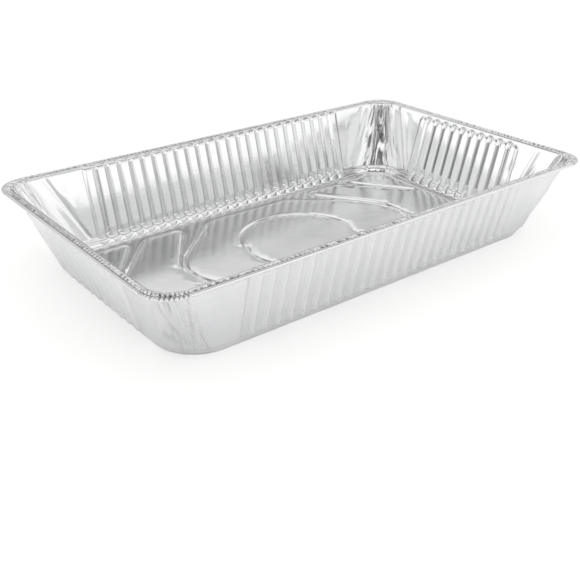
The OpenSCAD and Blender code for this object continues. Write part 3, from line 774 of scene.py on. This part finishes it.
def foil_finish_and_painted_shade():
    """What rolling, pressing and handling leave on foil, worked out from the object's own
    coordinates: faint streaks along the sheet, soft small dents and a fine crumple that grows
    where the sheet is gathered. It also paints shade, nearly black, into the bottoms of the
    tight folds by the Crevice mask. Puts out the colour, the roughness and the height of the
    relief in millimetres."""
    group = bpy.data.node_groups.new("foil_finish_and_painted_shade", "ShaderNodeTree")
    for name in ("Gather", "Crevice"):
        group.interface.new_socket(name, in_out="INPUT", socket_type="NodeSocketFloat")
    group.interface.new_socket("Color", in_out="OUTPUT", socket_type="NodeSocketColor")
    for name in ("Roughness", "Height"):
        group.interface.new_socket(name, in_out="OUTPUT", socket_type="NodeSocketFloat")
    given, out = group.nodes.new("NodeGroupInput"), group.nodes.new("NodeGroupOutput")
    gather, crevice = given.outputs["Gather"], given.outputs["Crevice"]
    place = group.nodes.new("ShaderNodeTexCoord").outputs["Object"]

    def noise(scale, stretch, detail):
        mapping = group.nodes.new("ShaderNodeMapping")
        mapping.inputs["Scale"].default_value = stretch
        group.links.new(place, mapping.inputs["Vector"])
        node = group.nodes.new("ShaderNodeTexNoise")
        node.inputs["Scale"].default_value = scale
        node.inputs["Detail"].default_value = detail
        group.links.new(mapping.outputs[0], node.inputs["Vector"])
        return node.outputs["Fac"]

    def spread(value, low, high):
        """Noise lies mostly between 0.3 and 0.7, and this spreads it from low to high."""
        return in_range(group, value, 0.3, 0.7, low, high)

    def scaled(value, factor):
        return maths(group, "MULTIPLY", value, factor)

    streaks = noise(900, (0.03, 1, 1), 2)
    cloud = noise(28, (1, 1, 1), 3)
    dents = noise(75, (1, 1, 1), 2)
    crumple = noise(330, (1, 1, 1), 3)
    grain = noise(1400, (0.2, 1, 1), 2)
    streaked = maths(group, "ADD", scaled(streaks, 0.55), scaled(cloud, 0.45))
    tone = mix_colours(group, spread(streaked, 0, 1), STREAK_TONE, FOIL_TONE)
    # Painted shade: the crevice mask darkens the colour towards nearly black in the bottoms of the
    # tight folds.
    group.links.new(mix_colours(group, crevice, tone, CREVICE_PAINTED_SHADE), out.inputs["Color"])

    normal = group.nodes.new("ShaderNodeSeparateXYZ")
    facing = group.nodes.new("ShaderNodeNewGeometry").outputs["True Normal"]
    group.links.new(facing, normal.inputs[0])
    flat = in_range(group, normal.outputs["Z"], FACING_UP, 1, *FLAT_ROUGH)
    outside = maths(group, "LESS_THAN", normal.outputs["Z"], FACING_DOWN)
    satin = maths(group, "SUBTRACT", SATIN_ROUGH, scaled(gather, GATHERED_BRIGHT))
    rough = maths(group, "ADD", spread(cloud, *CLOUD_ROUGH), spread(streaks, *STREAK_ROUGH))
    rough = maths(group, "ADD", rough, flat)
    rough = maths(group, "ADD", rough, scaled(outside, satin))
    group.links.new(rough, out.inputs["Roughness"])

    relief = maths(group, "ADD", scaled(dents, DENT_HEIGHT), scaled(grain, GRAIN_HEIGHT))
    crumpled = maths(group, "ADD", scaled(gather, CRUMPLE_GAIN), CRUMPLE_HEIGHT)
    relief = maths(group, "ADD", relief, scaled(crumple, crumpled))
    group.links.new(relief, out.inputs["Height"])
    return group


def foil_material():
    """Bright rolled foil: a metal whose colour, roughness and relief come from its surface group,
    which also paints shade into the bottoms of the tight folds.
    """
    material = bpy.data.materials.new("foil")
    material.use_nodes = True
    tree = material.node_tree
    shader = tree.nodes["Principled BSDF"]
    shader.inputs["Metallic"].default_value = 1
    finish_and_shade = tree.nodes.new("ShaderNodeGroup")
    finish_and_shade.node_tree = foil_finish_and_painted_shade()
    for name in ("gather", "crevice"):
        mask = tree.nodes.new("ShaderNodeAttribute")
        mask.attribute_name = name
        tree.links.new(mask.outputs["Fac"], finish_and_shade.inputs[name.capitalize()])
    relief = tree.nodes.new("ShaderNodeBump")
    relief.inputs["Distance"].default_value = MM
    tree.links.new(finish_and_shade.outputs["Color"], shader.inputs["Base Color"])
    tree.links.new(finish_and_shade.outputs["Roughness"], shader.inputs["Roughness"])
    tree.links.new(finish_and_shade.outputs["Height"], relief.inputs["Height"])
    tree.links.new(relief.outputs["Normal"], shader.inputs["Normal"])
    return material


pan.data.materials.append(foil_material())
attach(pan, "root")
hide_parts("pan")

# The pan stands on a wide white table in a white studio. The table takes the pan's soft shadow,
# and the camera and the foil's reflections see it and the walls around it as white.

# The table's colours for light between surfaces and for the camera, then the levels that the foil
# mirrors at the pan's foot and at TABLE_REACH from it, in metres. The lower level at the foot is a
# painted shadow of the pan, seen only in the foil's reflections.
TABLE_LIT, TABLE_SEEN = (0.8, 0.8, 0.8, 1), (1.57, 1.56, 1.55, 1)
TABLE_NEAR, TABLE_FAR, TABLE_REACH = 1.2, 1.55, 0.06


def seen_directly(tree):
    """Two masks. The first is 1 for rays straight from the camera. The second is also 1 for rays
    by way of metal or glass, and 0 for the diffuse rays that carry light between surfaces."""
    path = tree.nodes.new("ShaderNodeLightPath")
    camera = path.outputs["Is Camera Ray"]
    seen = maths(tree, "MAXIMUM", camera, path.outputs["Is Glossy Ray"])
    return camera, maths(tree, "MAXIMUM", seen, path.outputs["Is Transmission Ray"])


def make_table():
    """A plane whose colour for the foil's mirrored rays grows from TABLE_NEAR at the pan's foot to
    TABLE_FAR, with the distance from the foot's rectangle: the length of max(|place| - foot, 0).
    The darker colour near the foot is a painted shadow of the pan, seen only in reflections."""
    bpy.ops.mesh.primitive_plane_add(size=6, location=(0, 0, 0))
    table = bpy.context.object
    table.name = "table"
    material = bpy.data.materials.new("table_white")
    material.use_nodes = True
    tree = material.node_tree
    tree.nodes.clear()
    out = tree.nodes.new("ShaderNodeOutputMaterial")
    diffuse = tree.nodes.new("ShaderNodeBsdfDiffuse")
    away = tree.nodes.new("ShaderNodeTexCoord").outputs["Object"]
    foot = (FOOT_A * MM, FOOT_B * MM, 0)
    for operation, values in (("ABSOLUTE", ()), ("SUBTRACT", (foot,)), ("MAXIMUM", ((0, 0, 0),))):
        away = operate(tree, "ShaderNodeVectorMath", operation, away, *values).outputs["Vector"]
    away = operate(tree, "ShaderNodeVectorMath", "LENGTH", away).outputs["Value"]
    # Painted shadow: the mirrored colour is darker close to the pan's foot.
    mirrored = in_range(tree, away, 0, TABLE_REACH, TABLE_NEAR, TABLE_FAR)
    camera, seen = seen_directly(tree)
    tone = mix_colours(tree, seen, TABLE_LIT, mirrored)
    tone = mix_colours(tree, camera, tone, TABLE_SEEN)
    tree.links.new(tone, diffuse.inputs["Color"])
    tree.links.new(diffuse.outputs[0], out.inputs["Surface"])
    table.data.materials.append(material)


make_table()

# The studio is a white room around the pan. Bright foil shows its darker parts as stripes: the
# stands, gaps and edges of the lamps, each given here as (azimuth, elevation, width, height,
# strength), in degrees, with a negative strength for a darker part.

# The level that lights the pan, the one that it mirrors and the darkest that it mirrors. A lobe
# with a width of 4000 goes all the way round.
LIT_LEVEL, MIRRORED_LEVEL, DARKEST_LEVEL = 0.7, 0.98, 0.02
STUDIO_LOBES = (
    (-100, 5, 75, 9, 0.4),
    (172, 9, 12, 8, -0.95),
    (114, 8, 14, 9, -0.85),
    (142, 12, 12, 20, 0.35),
    (62, 5, 30, 12, -0.95),
    (52, 22, 26, 5, -0.4),
    (55, 34, 26, 5, 0.25),
    (-95, 6, 9, 6, -1.0),
    (-30, 3, 8, 5, -0.7),
    (-132, 39, 55, 8, -0.95),
    (-120, 25, 60, 6, 0.35),
    (90, 38, 18, 6, -0.7),
    (0, 54, 4000, 6, -0.75),
    (0, 82, 4000, 16, 0.1),
)


def make_studio():
    """The foil mirrors the room: a white level with a few soft lobes, each a bell in azimuth and
    elevation, exp(-(turn / width)^2 - (rise / height)^2). The camera sees plain white, and diffuse
    light comes from a plain and dimmer level."""
    world = bpy.data.worlds.new("studio")
    bpy.context.scene.world = world
    world.use_nodes = True
    tree = world.node_tree
    background = tree.nodes["Background"]
    place = tree.nodes.new("ShaderNodeTexCoord")
    parts = tree.nodes.new("ShaderNodeSeparateXYZ")
    tree.links.new(place.outputs["Generated"], parts.inputs[0])
    azimuth = maths(tree, "ARCTAN2", parts.outputs["Y"], parts.outputs["X"])
    azimuth = maths(tree, "DEGREES", azimuth)
    elevation = maths(tree, "DEGREES", maths(tree, "ARCSINE", parts.outputs["Z"]))
    camera, seen = seen_directly(tree)

    def squared(value):
        return maths(tree, "POWER", maths(tree, "ABSOLUTE", value), 2)

    level = MIRRORED_LEVEL
    for turn, rise, width, height, strength in STUDIO_LOBES:
        across = maths(tree, "WRAP", maths(tree, "SUBTRACT", azimuth, turn), 180, -180)
        across = squared(maths(tree, "DIVIDE", across, width))
        above = squared(maths(tree, "DIVIDE", maths(tree, "SUBTRACT", elevation, rise), height))
        away = maths(tree, "MULTIPLY", maths(tree, "ADD", across, above), -1)
        level = maths(tree, "MULTIPLY_ADD", maths(tree, "EXPONENT", away), strength, level)
    pattern = maths(tree, "SUBTRACT", maths(tree, "MAXIMUM", level, DARKEST_LEVEL), LIT_LEVEL)
    level = maths(tree, "MULTIPLY_ADD", seen, pattern, LIT_LEVEL)
    around = maths(tree, "MULTIPLY", maths(tree, "SUBTRACT", 1, camera), level)
    tree.links.new(maths(tree, "ADD", camera, around), background.inputs["Strength"])
    background.inputs["Color"].default_value = (1, 1, 1, 1)
    world.cycles.sampling_method = "MANUAL"
    world.cycles.sample_map_resolution = 256


make_studio()
bpy.context.scene.view_settings.view_transform = "Standard"
